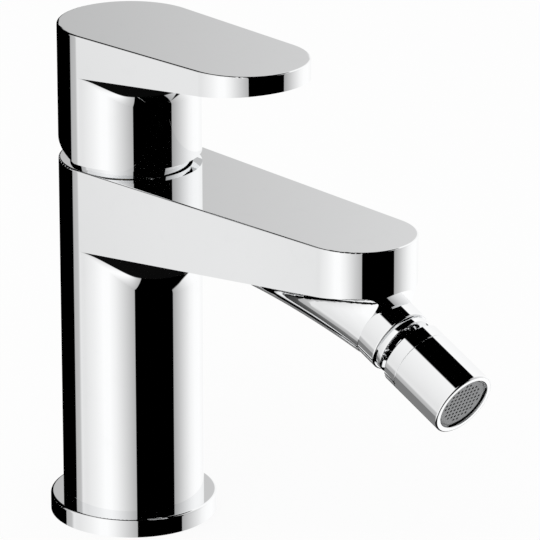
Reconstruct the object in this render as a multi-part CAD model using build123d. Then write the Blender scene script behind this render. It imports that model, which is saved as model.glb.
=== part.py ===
from build123d import *

import os
from math import asin, cos, radians, sin, sqrt, tan

# Single-lever bidet mixer with a ball-jointed outlet, in millimetres.
# +Z is up. The origin is on the column's axis, in the plane of the deck that the base ring
# stands on. The spout and the lever reach towards -Y, so a distance "reach" is measured that way.
# Heights are measured from the deck, depths down from the body's top, and rises up from the level
# that their name gives. Places along the outlet are measured from the joint between
# the spout and the ball nipple, along the outlet's own axis.

# Column and deck
body_radius = 23.0
body_height = 121.2
skirt_wall = 3.5
bridge_thickness = 22.0
top_round = 0.6

# Base ring and its gaskets
ring_margin = 4.2
ring_height = 6.0
ring_lip_height = 1.5
ring_round = 0.8
spigot_wall = 1.8
gasket_inset = 3.2
gasket_width = 2.8
gasket_height = 1.8
ring_seal_width = 1.0
ring_seal_height = 1.8

# Spout
spout_reach = 104.3
spout_nose_radius = 18.5
spout_root_depth = 27.2
spout_rise_angle = 6.1
spout_wall = 3.0
spout_passage_radius = 2.5
spout_passage_lift = 0.5

# Deck connections under the bridge
inlet_thread_radius = 5.0
inlet_thread_depth = 12.0
inlet_spacing = 17.0
inlet_back = 4.0
inlet_bore_radius = 2.75
stud_radius = 4.0
stud_depth = 14.0
stud_forward = 10.0

# Outlet boss and ball nipple
outlet_reach = 116.4
outlet_drop = 12.44
outlet_drop_angle = 25.0
boss_tip_radius = 10.5
boss_length = 80.0
boss_buried = 1.73
boss_hollow = 2.65
boss_trim = 3.0
boss_face_radius = 14.3
boss_blend = 5.0
nipple_thread_radius = 8.0
nipple_thread_length = 9.0
nipple_passage_length = 34.0
nipple_passage_radius = 5.0
collar_radius = 10.8
collar_length = 7.4
collar_round = 0.5
washer_inner_radius = 8.2
washer_outer_radius = 9.5
washer_thickness = 1.2
hex_across_flats = 17.0
hex_length = 2.4
ball_radius = 8.0
ball_distance = 20.4
ball_neck_radius = 4.2
ball_bore_radius = 3.0
ball_flat_distance = 6.6

# Swivelling outlet
housing_radius = 10.9
housing_start = 12.4
housing_end = 37.4
swivel_ring_length = 5.1
swivel_mouth_radius = 7.6
swivel_lip_depth = 3.0
swivel_spigot_radius = 9.9
bearing_gap = 0.05
liner_thickness = 0.6
liner_half_height = 3.0
liner_slit = 0.8
ball_seat_length = 7.6
ball_seat_bore = 6.3
ball_seal_drop = 4.65
ball_seal_length = 1.5
ball_seal_radius = 8.4
sleeve_ledge_radius = 8.3
sleeve_ledge_length = 1.0
aerator_bore_radius = 9.1
housing_round = 0.5
aerator_gasket_bore = 6.5
aerator_gasket_length = 1.2
aerator_wall = 1.4
filter_length = 1.8
regulator_length = 2.4
regulator_bore = 2.2
regulator_jets = 8
jet_radius = 0.6
screen_recess = 0.8
screen_thickness = 1.0
screen_margin = 0.8
screen_pitch = 1.5
screen_hole_radius = 0.45

# Cartridge
cartridge_radius = 15.0
cartridge_depth = 37.2
pocket_clearance = 0.2
relief_depth = 2.0
relief_start = 1.5
relief_height = 19.5
base_thickness = 4.0
port_radius = 2.5
inlet_port_side = 5.0
inlet_port_forward = 4.0
outlet_port_back = 4.5
port_seal_width = 1.2
port_seal_height = 1.1
side_channel_width = 6.0
side_channel_floor = 1.2
side_channel_height = 1.6
disc_thickness = 3.5
fixed_disc_gap = 0.2
moving_disc_radius = 9.2
moving_disc_thickness = 3.0
moving_disc_back = 2.8
mixing_pocket_radius = 4.6
mixing_pocket_back = 4.2
mixing_pocket_depth = 1.6
coupler_height = 4.5
coupler_rim = 0.2
socket_radius = 2.4
socket_floor = 0.5
ear_gap = 0.3
ear_thickness = 1.6
ear_half_length = 6.0
housing_wall = 1.7
housing_shoulder_rise = 24.0
housing_neck_radius = 12.3
housing_neck_length = 10.0
rotor_radius = 10.5
rotor_proud = 2.0
rotor_flange_height = 2.8
rotor_flange_gap = 0.3
flange_lift = 0.2
running_gap = 0.1
slot_half_length = 7.9
housing_seal_width = 1.0
housing_seal_height = 1.6
housing_seal_drop = 0.5

# Nut and dome that hold the cartridge
nut_radius = 16.5
nut_start_rise = 2.0
nut_thread_length = 7.5
nut_collar_radius = 14.4
nut_collar_length = 6.5
thread_gap = 0.05
limit_ring_height = 2.0
dome_radius = 19.0
dome_opening_radius = 10.8

# Stem and its pivot
pivot_rise = 29.0
pivot_pin_radius = 1.5
stem_width = 7.0
stem_length = 37.0
stem_chamfer = 0.6
stem_shoulder_drop = 7.0
stem_arm_radius = 1.9
stem_ball_radius = 2.3
stem_ball_drop = 15.5

# Lever
lever_gap = 2.0
lever_height = 42.6
lever_reach = 53.8
lever_nose_radius = 20.6
lever_root_depth = 14.0
lever_rise_angle = 6.25
lever_wall = 3.0
lever_roof = 5.8
lever_rear_start = 1.0
lever_rear_angle = 20.0
lever_boss_radius = 8.5
lever_boss_rise = 12.8
lever_web_width = 9.0
insert_radius = 6.5
insert_length = 14.0
screw_radius = 2.5
screw_length = 10.0
screw_hex = 2.5
screw_hex_depth = 3.0
plug_radius = 3.2
plug_depth = 2.4
plug_proud = 0.25

# One overrun lets every cutting tool run past the face that it cuts.
overrun = 1.0

# Sizes that follow from the ones above
spout_root_height = body_height - spout_root_depth
cartridge_seat = body_height - cartridge_depth
bridge_height = cartridge_seat - bridge_thickness
relief_bottom = cartridge_seat + relief_start
relief_top = relief_bottom + relief_height
housing_shoulder_height = cartridge_seat + housing_shoulder_rise
housing_neck_top = housing_shoulder_height + housing_neck_length
rotor_top = housing_neck_top + rotor_proud
nut_start = housing_shoulder_height + nut_start_rise
nut_shoulder_top = nut_start + nut_thread_length
nut_collar_top = nut_shoulder_top + nut_collar_length
pivot_height = cartridge_seat + pivot_rise
stem_top = pivot_height + stem_length
skirt_bore_radius = body_radius - skirt_wall
spigot_radius = skirt_bore_radius + spigot_wall
ring_radius = body_radius + ring_margin
gasket_radius = ring_radius - gasket_inset
pocket_radius = cartridge_radius + pocket_clearance
relief_radius = cartridge_radius + pocket_clearance + relief_depth
chamber_front = relief_radius + spout_wall
fixed_disc_bottom = cartridge_seat + base_thickness
moving_disc_bottom = fixed_disc_bottom + disc_thickness
coupler_bottom = moving_disc_bottom + moving_disc_thickness
coupler_top = coupler_bottom + coupler_height
coupler_radius = moving_disc_radius - coupler_rim
rotor_bottom = coupler_top + flange_lift
rotor_shoulder = rotor_bottom + rotor_flange_height
disc_chamber_radius = cartridge_radius - housing_wall
disc_chamber_top = rotor_shoulder + flange_lift
stem_ball_height = pivot_height - stem_ball_drop
skirt_bottom = body_height + lever_gap
lever_top = skirt_bottom + lever_height
lever_root_height = lever_top - lever_root_depth
lever_boss_bottom = skirt_bottom + lever_boss_rise
insert_top = lever_boss_bottom + insert_length
screw_height = (lever_boss_bottom + insert_top) / 2
lever_bore_radius = body_radius - lever_wall
stem_half = stem_width / 2
liner_inner_radius = ball_radius + bearing_gap
liner_outer_radius = liner_inner_radius + liner_thickness
ball_seat_radius = liner_outer_radius + bearing_gap
ball_seat_end = ball_distance + ball_seat_length
ball_seal_start = ball_distance + ball_seal_drop
ball_seal_end = ball_seal_start + ball_seal_length
aerator_start = ball_seat_end + sleeve_ledge_length
screen_end = housing_end - screen_recess
screen_start = screen_end - screen_thickness
screen_radius = aerator_bore_radius - screen_margin
aerator_body_start = aerator_start + aerator_gasket_length
aerator_radius = aerator_bore_radius - running_gap
aerator_inner_radius = aerator_radius - aerator_wall
regulator_start = aerator_body_start + filter_length

# The outlet's own frame: its local Z runs down the outlet's axis, away from the spout.
outlet_slope = radians(outlet_drop_angle)
outlet_height = spout_root_height + outlet_reach * tan(radians(spout_rise_angle)) - outlet_drop
outlet_frame = Plane(
    origin=(0, -outlet_reach, outlet_height),
    x_dir=(1, 0, 0),
    z_dir=(0, -cos(outlet_slope), -sin(outlet_slope)),
)


def rod(radius, bottom, top, x=0, y=0):
    """A round bar along Z between two heights."""
    return Pos(x, y, bottom) * Cylinder(radius, top - bottom, align=(Align.CENTER, Align.CENTER, Align.MIN))


def tube(outer, inner, bottom, top, x=0, y=0):
    """A straight ring along Z with a through bore."""
    return rod(outer, bottom, top, x, y) - rod(inner, bottom - overrun, top + overrun, x, y)


def rod_between(start, end, radius):
    """A round bar from one point to another."""
    run = Vector(*end) - Vector(*start)
    frame = Plane(origin=start, z_dir=run)
    return frame * Cylinder(radius, run.length, align=(Align.CENTER, Align.CENTER, Align.MIN))


def block(width, depth, bottom, top, x=0, y=0):
    """A box between two heights, centred on x and y."""
    return Pos(x, y, bottom) * Box(width, depth, top - bottom, align=(Align.CENTER, Align.CENTER, Align.MIN))


def turned(*profile):
    """A solid turned about Z from corners given as radius and height."""
    outline = Polyline(*[(radius, 0, height) for radius, height in profile], close=True)
    return revolve(make_face(outline), Axis.Z)


def side_plate(half_width, *profile):
    """A plate across X whose outline is given as reach and height."""
    outline = Polyline(*[(0, -reach, height) for reach, height in profile], close=True)
    return extrude(make_face(outline), amount=half_width, both=True)


def tapered_plan(root_radius, nose_radius, reach):
    """The plan of the spout or the lever: two circles joined by their outer tangents."""
    lean = asin((root_radius - nose_radius) / reach)
    root_x, root_y = root_radius * cos(lean), -root_radius * sin(lean)
    nose_x, nose_y = nose_radius * cos(lean), -reach - nose_radius * sin(lean)
    edges = [
        ThreePointArc((root_x, root_y), (0, root_radius), (-root_x, root_y)),
        Line((-root_x, root_y), (-nose_x, nose_y)),
        ThreePointArc((-nose_x, nose_y), (0, -reach - nose_radius), (nose_x, nose_y)),
        Line((nose_x, nose_y), (root_x, root_y)),
    ]
    return make_face(edges)


def sloped_arm(root_radius, nose_radius, reach, root_height, rise_angle, top, margin=0):
    """An arm with a rising underside, from where its straight sides leave the column."""
    lean = asin((root_radius - nose_radius) / reach)
    start, end = root_radius * sin(lean), reach + nose_radius + margin + overrun
    rise = tan(radians(rise_angle))
    space = side_plate(
        root_radius + margin + overrun,
        (start, root_height + rise * start), (end, root_height + rise * end),
        (end, top + overrun), (start, top + overrun),
    )
    return extrude(tapered_plan(root_radius + margin, nose_radius + margin, reach), amount=top) & space


def arm_on_column(arm, radius, bottom, top, rounding):
    """Joins an arm to its round column and rounds the edge of their level top."""
    solid = arm + Rot(0, 0, 90) * rod(radius, bottom, top)
    crown = solid.faces().filter_by(Axis.Z).sort_by(Axis.Z)[-1]
    return fillet(crown.outer_wire().edges(), rounding)


def on_outlet(shape):
    """Carries a shape from the outlet's own frame to its place on the mixer."""
    return outlet_frame.location * shape


def inlet_ports():
    """The two inlet ports' places in plan."""
    return [(side * inlet_port_side, -inlet_port_forward) for side in (-1, 1)]


def all_ports():
    """The places of the two inlet ports and the outlet port."""
    return inlet_ports() + [(0, outlet_port_back)]


def make_body():
    """The hollow brass casting: column, spout and outlet boss in one."""
    body = arm_on_column(make_spout(), body_radius, ring_height, body_height, top_round)
    body += rod(spigot_radius, ring_lip_height, ring_height + overrun)

    cuts = [
        rod(skirt_bore_radius, ring_lip_height - overrun, bridge_height),
        rod(pocket_radius, cartridge_seat, body_height + overrun),
        rod(relief_radius, relief_bottom, relief_top),
        rod(nut_radius, nut_start, body_height + overrun),
        rod(stud_radius, bridge_height - overrun, bridge_height + stud_depth, 0, -stud_forward),
        spout_cavity(),
        spout_passage(),
        ring_seal_space(),
    ]
    for side in (-1, 1):
        thread_x = side * inlet_spacing / 2
        thread_top = bridge_height + inlet_thread_depth
        port = (side * inlet_port_side, -inlet_port_forward, cartridge_seat + overrun)
        cuts.append(rod(inlet_thread_radius, bridge_height - overrun, thread_top, thread_x, inlet_back))
        cuts.append(rod_between((thread_x, inlet_back, thread_top - overrun), port, inlet_bore_radius))
    cuts.append(on_outlet(rod(nipple_thread_radius, -nipple_thread_length - overrun, overrun)))
    cuts.append(on_outlet(rod(nipple_passage_radius, -nipple_passage_length, 0)))
    for cut in cuts:
        body -= cut
    return body


def make_spout():
    """The spout with its outlet boss, blended under a wider arm and trimmed to the spout's plan."""
    margin = 2 * boss_blend
    wide = sloped_arm(
        body_radius, spout_nose_radius, spout_reach, spout_root_height, spout_rise_angle, body_height, margin
    )
    plan = tapered_plan(body_radius + margin, spout_nose_radius + margin, spout_reach)
    spout = wide + (turned_boss() & extrude(plan, amount=body_height - spout_wall))
    spout = fillet(boss_crease(spout), boss_blend)
    spout -= on_outlet(rod(boss_face_radius, 0, boss_trim + overrun))
    arm_plan = tapered_plan(body_radius, spout_nose_radius, spout_reach)
    return spout & extrude(arm_plan, amount=body_height)


def turned_boss():
    """The flared boss under the spout's nose, widening backwards until it is buried in the spout."""
    rise = tan(radians(spout_rise_angle))
    climb = boss_length * (sin(outlet_slope) + rise * cos(outlet_slope))
    root_radius = (climb - outlet_drop - boss_buried) / (cos(outlet_slope) - rise * sin(outlet_slope))
    middle_radius = (boss_tip_radius + root_radius) / 2 - boss_hollow
    tip, root = (boss_tip_radius, 0, boss_trim), (root_radius, 0, -boss_length)
    flare = ThreePointArc(tip, (middle_radius, 0, (boss_trim - boss_length) / 2), root)
    rest = Polyline(root, (0, 0, -boss_length), (0, 0, boss_trim), tip)
    return on_outlet(revolve(make_face([flare] + rest.edges()), Axis.Z))


def boss_crease(body):
    """The edges where the boss meets the sloping underside of the spout."""
    flat = body.faces().filter_by(GeomType.PLANE)
    under = flat.group_by(lambda face: face.normal_at().Z)[0].sort_by(SortBy.AREA)[-1]
    return under.inner_wires()[0].edges()


def spout_cavity():
    """The waterway in the spout, a wall's thickness inside its skin all round."""
    inner_root = body_radius - spout_wall
    inner_nose = spout_nose_radius - spout_wall
    plan = tapered_plan(inner_root, inner_nose, spout_reach)
    rise = tan(radians(spout_rise_angle))
    floor, roof = spout_root_height + spout_wall, body_height - spout_wall
    end = spout_reach + spout_nose_radius
    return extrude(plan, amount=body_height) & side_plate(
        body_radius,
        (chamber_front, floor + rise * chamber_front), (end, floor + rise * end),
        (end, roof), (chamber_front, roof),
    )


def spout_passage():
    """The bore that lets mixed water out of the cartridge chamber into the spout."""
    rise = tan(radians(spout_rise_angle))
    floor = spout_root_height + spout_wall + rise * chamber_front
    height = floor + spout_passage_lift + spout_passage_radius
    start = (0, overrun - relief_radius, height)
    end = (0, -chamber_front - overrun, height)
    return rod_between(start, end, spout_passage_radius)


def ring_seal_space():
    """The groove in the spigot that holds the ring seal."""
    middle = (ring_lip_height + ring_height) / 2
    low, high = middle - ring_seal_height / 2, middle + ring_seal_height / 2
    return tube(spigot_radius + overrun, spigot_radius - ring_seal_width, low, high)


def make_ring_seal():
    """The O-ring between the body's spigot and the base ring."""
    middle = (ring_lip_height + ring_height) / 2
    low, high = middle - ring_seal_height / 2, middle + ring_seal_height / 2
    return tube(spigot_radius + running_gap, spigot_radius - ring_seal_width, low, high)


def gasket_space(bottom):
    """The flat ring that the deck gasket fills, from a chosen bottom height."""
    half = gasket_width / 2
    return tube(gasket_radius + half, gasket_radius - half, bottom, gasket_height)


def make_base_ring():
    """The escutcheon that the column stands on."""
    ring = rod(ring_radius, 0, ring_height)
    ring = fillet(ring.edges().group_by(Axis.Z)[-1], ring_round)
    ring -= rod(skirt_bore_radius, -overrun, ring_height + overrun)
    ring -= rod(spigot_radius + running_gap, ring_lip_height, ring_height + overrun)
    return ring - gasket_space(-overrun)


def make_base_gasket():
    """The deck gasket, pressed flush with the ring's underside."""
    return gasket_space(0)


def make_cartridge_base():
    """The plastic base with the ports, their seal pockets and the side channel."""
    top = fixed_disc_bottom
    seal_radius = port_radius + port_seal_width
    base = rod(cartridge_radius, cartridge_seat, top)
    for x, y in inlet_ports():
        base -= rod(port_radius, cartridge_seat - overrun, top + overrun, x, y)
        base -= rod(seal_radius, cartridge_seat - overrun, cartridge_seat + port_seal_height, x, y)
    for x, y in all_ports():
        base -= rod(seal_radius, top - port_seal_height, top + overrun, x, y)
    floor = cartridge_seat + side_channel_floor
    base -= rod(port_radius, floor, top + overrun, 0, outlet_port_back)
    length = cartridge_radius - outlet_port_back + overrun
    centre = outlet_port_back + length / 2
    return base - block(side_channel_width, length, floor, floor + side_channel_height, 0, centre)


def make_inlet_seals():
    """Two rubber rings between the cartridge base and the body's floor."""
    outer = port_radius + port_seal_width
    low, high = cartridge_seat, cartridge_seat + port_seal_height
    return Compound(children=[tube(outer, port_radius, low, high, x, y) for x, y in inlet_ports()])


def make_disc_seals():
    """Three rubber rings between the cartridge base and the fixed disc."""
    outer = port_radius + port_seal_width
    low, high = fixed_disc_bottom - port_seal_height, fixed_disc_bottom
    return Compound(children=[tube(outer, port_radius, low, high, x, y) for x, y in all_ports()])


def make_fixed_disc():
    """The lower ceramic disc with its three ports."""
    disc = rod(disc_chamber_radius - fixed_disc_gap, fixed_disc_bottom, moving_disc_bottom)
    for x, y in all_ports():
        disc -= rod(port_radius, fixed_disc_bottom - overrun, moving_disc_bottom + overrun, x, y)
    return disc


def make_moving_disc():
    """The upper ceramic disc with the mixing pocket in its underside."""
    disc = rod(moving_disc_radius, moving_disc_bottom, coupler_bottom, 0, moving_disc_back)
    pocket_top = moving_disc_bottom + mixing_pocket_depth
    return disc - rod(mixing_pocket_radius, moving_disc_bottom - overrun, pocket_top, 0, mixing_pocket_back)


def make_disc_coupler():
    """The slider that carries the moving disc and takes the stem's ball end."""
    slider = rod(coupler_radius, coupler_bottom, coupler_top, 0, moving_disc_back)
    return slider - rod(socket_radius, coupler_bottom + socket_floor, coupler_top + overrun)


def make_stem_carrier():
    """The rotor that turns with the lever and holds the stem's pivot pin."""
    flange_radius = disc_chamber_radius - rotor_flange_gap
    rotor = rod(flange_radius, rotor_bottom, rotor_shoulder) + rod(rotor_radius, rotor_bottom, rotor_top)
    ear_x = coupler_radius + ear_gap + ear_thickness / 2
    ear_bottom = coupler_bottom + flange_lift
    for side in (-1, 1):
        rotor += block(ear_thickness, 2 * ear_half_length, ear_bottom, rotor_bottom + overrun, side * ear_x)
    slot_width = stem_width + 2 * running_gap
    rotor -= block(slot_width, 2 * slot_half_length, rotor_bottom - overrun, rotor_top + overrun)
    return rotor - pivot_bar(pivot_pin_radius, rotor_radius + overrun)


def pivot_bar(radius, half_length):
    """A bar along the stem's pivot axis."""
    return rod_between((-half_length, 0, pivot_height), (half_length, 0, pivot_height), radius)


def make_pivot_pin():
    """The steel pin pressed through the rotor."""
    return pivot_bar(pivot_pin_radius, rotor_radius - running_gap)


def make_cartridge_stem():
    """The square spindle with its ball-ended arm below the pivot."""
    shoulder = pivot_height - stem_shoulder_drop
    stem = block(stem_width, stem_width, shoulder, stem_top)
    stem = chamfer(stem.edges().group_by(Axis.Z)[-1], stem_chamfer)
    stem += rod(stem_arm_radius, stem_ball_height, shoulder)
    stem += Pos(0, 0, stem_ball_height) * Sphere(stem_ball_radius)
    return stem - pivot_bar(pivot_pin_radius + running_gap, stem_width)


def make_cartridge_housing():
    """The plastic shell round the discs and the rotor."""
    shell = rod(cartridge_radius, fixed_disc_bottom, housing_shoulder_height)
    shell += rod(housing_neck_radius, fixed_disc_bottom, housing_neck_top)
    shell -= rod(disc_chamber_radius, fixed_disc_bottom - overrun, disc_chamber_top)
    shell -= rod(rotor_radius + running_gap, fixed_disc_bottom, housing_neck_top + overrun)
    return shell - housing_seal_ring(cartridge_radius + overrun)


def housing_seal_ring(outer):
    """The ring-shaped space of the cartridge's outer seal."""
    high = housing_shoulder_height - housing_seal_drop
    return tube(outer, cartridge_radius - housing_seal_width, high - housing_seal_height, high)


def make_housing_seal():
    """The O-ring that keeps the mixed water below the nut."""
    return housing_seal_ring(pocket_radius)


def make_cartridge_nut():
    """The threaded nut that presses the cartridge down on its seat."""
    bore = housing_neck_radius + pocket_clearance
    return turned(
        (bore, housing_shoulder_height), (cartridge_radius, housing_shoulder_height),
        (cartridge_radius, nut_start), (nut_radius - thread_gap, nut_start),
        (nut_radius - thread_gap, nut_shoulder_top), (nut_collar_radius, nut_shoulder_top),
        (nut_collar_radius, nut_collar_top), (bore, nut_collar_top),
    )


def make_limit_ring():
    """The adjustable ring that stops the lever on the hot side."""
    bottom = housing_neck_top
    return tube(housing_neck_radius, rotor_radius + running_gap, bottom, bottom + limit_ring_height)


def make_dome_cap():
    """The chromed dome in the gap under the lever, part of a ball about the stem's pivot."""
    crown = Pos(0, 0, pivot_height) * Sphere(dome_radius)
    dome_top = pivot_height + sqrt(dome_radius**2 - dome_opening_radius**2)
    dome = crown & rod(dome_radius, body_height, dome_top)
    dome -= rod(dome_opening_radius, body_height - overrun, dome_top + overrun)
    seat_radius, seat_top = nut_collar_radius + thread_gap, nut_collar_top + pocket_clearance
    return dome - rod(seat_radius, body_height - overrun, seat_top)


def make_lever():
    """The hollow cast lever: skirt, tapering handle, boss for the stem and web for the screw."""
    handle = sloped_arm(
        body_radius, lever_nose_radius, lever_reach, lever_root_height, lever_rise_angle, lever_top
    )
    lever = arm_on_column(handle, body_radius, skirt_bottom, lever_top, top_round)
    roof = lever_top - lever_roof
    hollow = rod(lever_bore_radius, skirt_bottom - overrun, roof)
    hollow -= rod(lever_boss_radius, lever_boss_bottom, roof)
    hollow -= block(lever_web_width, body_radius, lever_boss_bottom, roof, 0, body_radius / 2)
    lever -= hollow
    lever -= rod(insert_radius, lever_boss_bottom - overrun, insert_top + overrun)
    rear_run = body_radius + overrun - lever_rear_start
    rear_rise = rear_run * tan(radians(lever_rear_angle))
    lever -= side_plate(
        body_radius + overrun,
        (-lever_rear_start, skirt_bottom),
        (-lever_rear_start - rear_run, skirt_bottom + rear_rise),
        (-lever_rear_start - rear_run, skirt_bottom - overrun),
        (-lever_rear_start, skirt_bottom - overrun),
    )
    lever -= rear_bar(screw_radius + thread_gap, 0, body_radius)
    return lever - rear_bar(plug_radius, body_radius - plug_depth, body_radius + overrun)


def rear_bar(radius, start, end):
    """A bar along the set screw's axis, between two distances behind the column's axis."""
    return rod_between((0, start, screw_height), (0, end, screw_height), radius)


def make_lever_insert():
    """The sleeve between the lever's boss and the square stem."""
    width = stem_width + running_gap
    insert = rod(insert_radius, lever_boss_bottom, insert_top)
    insert -= block(width, width, lever_boss_bottom - overrun, insert_top + overrun)
    return insert - rear_bar(screw_radius + running_gap, 0, insert_radius + overrun)


def make_set_screw():
    """The grub screw that clamps the lever to the stem."""
    end = stem_half + screw_length
    screw = rear_bar(screw_radius, stem_half, end)
    hexagon = extrude(RegularPolygon(screw_hex / 2, 6, major_radius=False), amount=screw_hex_depth + overrun)
    socket = Plane(origin=(0, end - screw_hex_depth, screw_height), z_dir=(0, 1, 0)) * hexagon
    return screw - socket


def make_index_plug():
    """The small cap over the set screw's hole at the back of the lever."""
    plug = rear_bar(plug_radius, body_radius - plug_depth, body_radius + overrun)
    return plug & rod(body_radius + plug_proud, skirt_bottom, lever_top)


def make_outlet_nipple():
    """The screwed-in nipple: collar, wrench flats, neck and ball, with the water bore through it."""
    hex_end = collar_length + hex_length
    nipple = rod(nipple_thread_radius - thread_gap, -nipple_thread_length, overrun)
    collar = rod(collar_radius, 0, collar_length)
    nipple += fillet(collar.edges().group_by(Axis.Z)[-1], collar_round)
    hexagon = RegularPolygon(hex_across_flats / 2, 6, major_radius=False)
    nipple += Pos(0, 0, collar_length - overrun) * extrude(hexagon, amount=hex_length + overrun)
    nipple += rod(ball_neck_radius, hex_end - overrun, ball_distance)
    ball = Pos(0, 0, ball_distance) * Sphere(ball_radius)
    nipple += ball & rod(ball_radius, ball_distance - ball_radius, ball_distance + ball_flat_distance)
    nipple -= rod(ball_bore_radius, -nipple_thread_length - overrun, ball_distance + ball_radius)
    nipple -= tube(washer_outer_radius, washer_inner_radius, -overrun, washer_thickness)
    return on_outlet(nipple)


def make_nipple_washer():
    """The sealing washer in the collar's back face."""
    return on_outlet(tube(washer_outer_radius, washer_inner_radius, 0, washer_thickness))


def ball_space(radius):
    """A round space about the ball's centre."""
    return Pos(0, 0, ball_distance) * Sphere(radius)


def make_swivel_ring():
    """The upper ring of the swivel, whose rounded seat keeps the ball in."""
    neck_end = housing_start + swivel_ring_length
    ring = rod(housing_radius, housing_start, neck_end)
    ring = chamfer(ring.edges().group_by(Axis.Z)[0], housing_round)
    ring += rod(swivel_spigot_radius, neck_end - overrun, ball_distance - bearing_gap)
    lip = housing_start + swivel_lip_depth
    lip_radius = sqrt(ball_seat_radius**2 - (ball_distance - lip) ** 2)
    mouth = turned((0, housing_start), (swivel_mouth_radius, housing_start), (lip_radius, lip), (0, lip))
    return on_outlet(ring - mouth - ball_space(ball_seat_radius))


def make_ball_liner():
    """The slit plastic liner that slides between the ball and its seat, a band of a hollow ball."""
    low, high = ball_distance - liner_half_height, ball_distance + liner_half_height
    band = ball_space(liner_outer_radius) & rod(liner_outer_radius, low, high)
    band -= ball_space(liner_inner_radius)
    slit_depth = liner_outer_radius + overrun
    return on_outlet(band - block(liner_slit, slit_depth, low, high, 0, slit_depth / 2))


def make_ball_seal():
    """The rubber ring that presses on the ball below the liner."""
    ring = rod(ball_seal_radius, ball_seal_start, ball_seal_end) - ball_space(liner_inner_radius)
    return on_outlet(ring - rod(ball_seat_bore, ball_seal_start, ball_seal_end + overrun))


def make_ball_seat():
    """The plastic cup that carries the ball from below, turning freely in the sleeve."""
    cup = rod(swivel_spigot_radius - bearing_gap, ball_distance, ball_seat_end)
    cup -= ball_space(ball_seat_radius)
    cup -= rod(ball_seal_radius, ball_seal_start, ball_seal_end)
    return on_outlet(cup - rod(ball_seat_bore, ball_seal_start, ball_seat_end + overrun))


def make_aerator_sleeve():
    """The long lower part of the swivel housing."""
    start = housing_start + swivel_ring_length
    sleeve = rod(housing_radius, start, housing_end)
    sleeve = fillet(sleeve.edges().group_by(Axis.Z)[-1], housing_round)
    sleeve -= rod(swivel_spigot_radius, start - overrun, ball_seat_end)
    sleeve -= rod(sleeve_ledge_radius, start, housing_end)
    return on_outlet(sleeve - rod(aerator_bore_radius, aerator_start, housing_end + overrun))


def make_aerator_gasket():
    """The flat rubber ring above the aerator."""
    return on_outlet(tube(aerator_radius, aerator_gasket_bore, aerator_start, aerator_body_start))


def make_aerator_body():
    """The plastic barrel of the aerator."""
    return on_outlet(tube(aerator_radius, aerator_inner_radius, aerator_body_start, screen_start))


def make_flow_filter():
    """The shallow domed strainer at the aerator's inlet."""
    crown = turned(
        (0, aerator_body_start), (aerator_inner_radius / 2, aerator_body_start),
        (aerator_inner_radius, aerator_body_start + filter_length / 2),
        (aerator_inner_radius, regulator_start), (0, regulator_start),
    )
    holes = grid_places(aerator_inner_radius / 2, screen_pitch)
    for x, y in holes:
        crown -= rod(screen_hole_radius, aerator_body_start - overrun, regulator_start + overrun, x, y)
    return on_outlet(crown)


def make_flow_regulator():
    """The disc with a ring of jets that limits the flow."""
    end = regulator_start + regulator_length
    disc = tube(aerator_inner_radius, regulator_bore, regulator_start, end)
    jet_circle = (aerator_inner_radius + regulator_bore) / 2
    for jet in PolarLocations(jet_circle, regulator_jets):
        disc -= jet * rod(jet_radius, regulator_start - overrun, end + overrun)
    return on_outlet(disc)


def grid_places(limit, pitch):
    """The points of a square grid, offset by half a pitch, inside a circle."""
    steps = int(limit / pitch) + 1
    spots = [pitch / 2 + index * pitch for index in range(-steps - 1, steps + 1)]
    return [(x, y) for x in spots for y in spots if x * x + y * y < limit * limit]


def make_aerator_screen():
    """The perforated plate that closes the aerator, with its snap rim."""
    holed_radius = aerator_inner_radius - screen_margin
    plate = rod(screen_radius, screen_start, screen_end)
    plate += tube(aerator_inner_radius, holed_radius, screen_start - screen_thickness, screen_start)
    for x, y in grid_places(holed_radius, screen_pitch):
        plate -= rod(screen_hole_radius, screen_start - overrun, screen_end + overrun, x, y)
    return on_outlet(plate)


parts = {
    "mixer_body": make_body,
    "base_ring": make_base_ring,
    "base_gasket": make_base_gasket,
    "ring_seal": make_ring_seal,
    "cartridge_base": make_cartridge_base,
    "inlet_seals": make_inlet_seals,
    "disc_seals": make_disc_seals,
    "fixed_disc": make_fixed_disc,
    "moving_disc": make_moving_disc,
    "disc_coupler": make_disc_coupler,
    "stem_carrier": make_stem_carrier,
    "pivot_pin": make_pivot_pin,
    "cartridge_stem": make_cartridge_stem,
    "cartridge_housing": make_cartridge_housing,
    "housing_seal": make_housing_seal,
    "cartridge_nut": make_cartridge_nut,
    "limit_ring": make_limit_ring,
    "dome_cap": make_dome_cap,
    "lever": make_lever,
    "lever_insert": make_lever_insert,
    "set_screw": make_set_screw,
    "index_plug": make_index_plug,
    "outlet_nipple": make_outlet_nipple,
    "nipple_washer": make_nipple_washer,
    "swivel_ring": make_swivel_ring,
    "ball_liner": make_ball_liner,
    "ball_seal": make_ball_seal,
    "ball_seat": make_ball_seat,
    "aerator_sleeve": make_aerator_sleeve,
    "aerator_gasket": make_aerator_gasket,
    "aerator_body": make_aerator_body,
    "flow_filter": make_flow_filter,
    "flow_regulator": make_flow_regulator,
    "aerator_screen": make_aerator_screen,
}

os.makedirs("parts", exist_ok=True)
for name, make in parts.items():
    export_step(make(), f"parts/{name}.step")
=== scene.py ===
# %% [markdown]
# # Dressing a bidet mixer
#
# The frame holds every solid of the mixer in its place: a plated brass column with its
# spout, the hollow lever on top, and the small swivelling outlet under the spout's nose.
# This lesson gives each of them its finish and adds the small blends, rings and threads
# that the drawing leaves out. It also sets up the camera and the light of a catalogue
# photograph.
# The first step loads the frame's solids and clears their plain materials.

import math

import bmesh
import bpy
from mathutils import Matrix, Vector


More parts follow.
